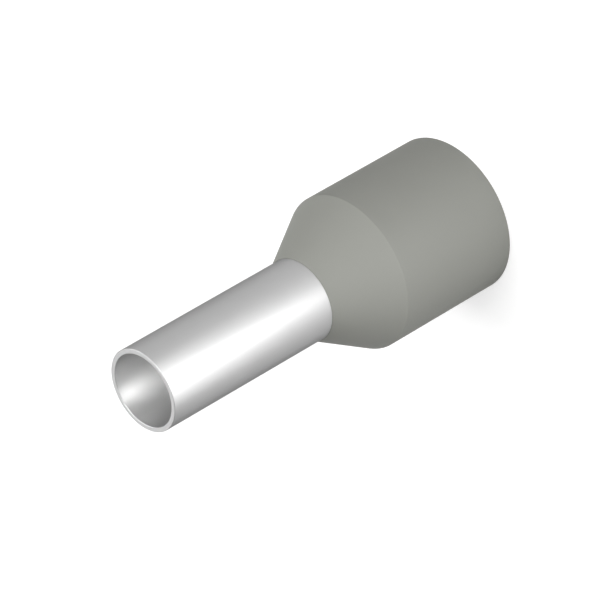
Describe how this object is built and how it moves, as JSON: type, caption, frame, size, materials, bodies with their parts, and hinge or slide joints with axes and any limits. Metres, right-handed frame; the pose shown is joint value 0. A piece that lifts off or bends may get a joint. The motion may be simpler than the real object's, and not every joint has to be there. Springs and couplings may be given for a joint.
{
  "type": "insulated wire end ferrule",
  "caption": "Insulated crimp ferrule for stranded wire: a tinned tube held in a bell-shaped plastic collar with a funnel entry.",
  "frame": {"origin": "centre of the collar's entry rim, where the wire goes in, on the surface that the ferrule stands on", "axes": "+Z along the common axis, from the entry rim to the tip of the tube; X and Y are any two directions across it"},
  "size_m": [0.0046, 0.0046, 0.012],
  "materials": {
    "tinned_copper": "satin",
    "grey_polypropylene": "satin"
  },
  "bodies": {
    "root": {"metal_sleeve": "tinned_copper", "insulating_collar": "grey_polypropylene"}
  },
  "joints": []
}
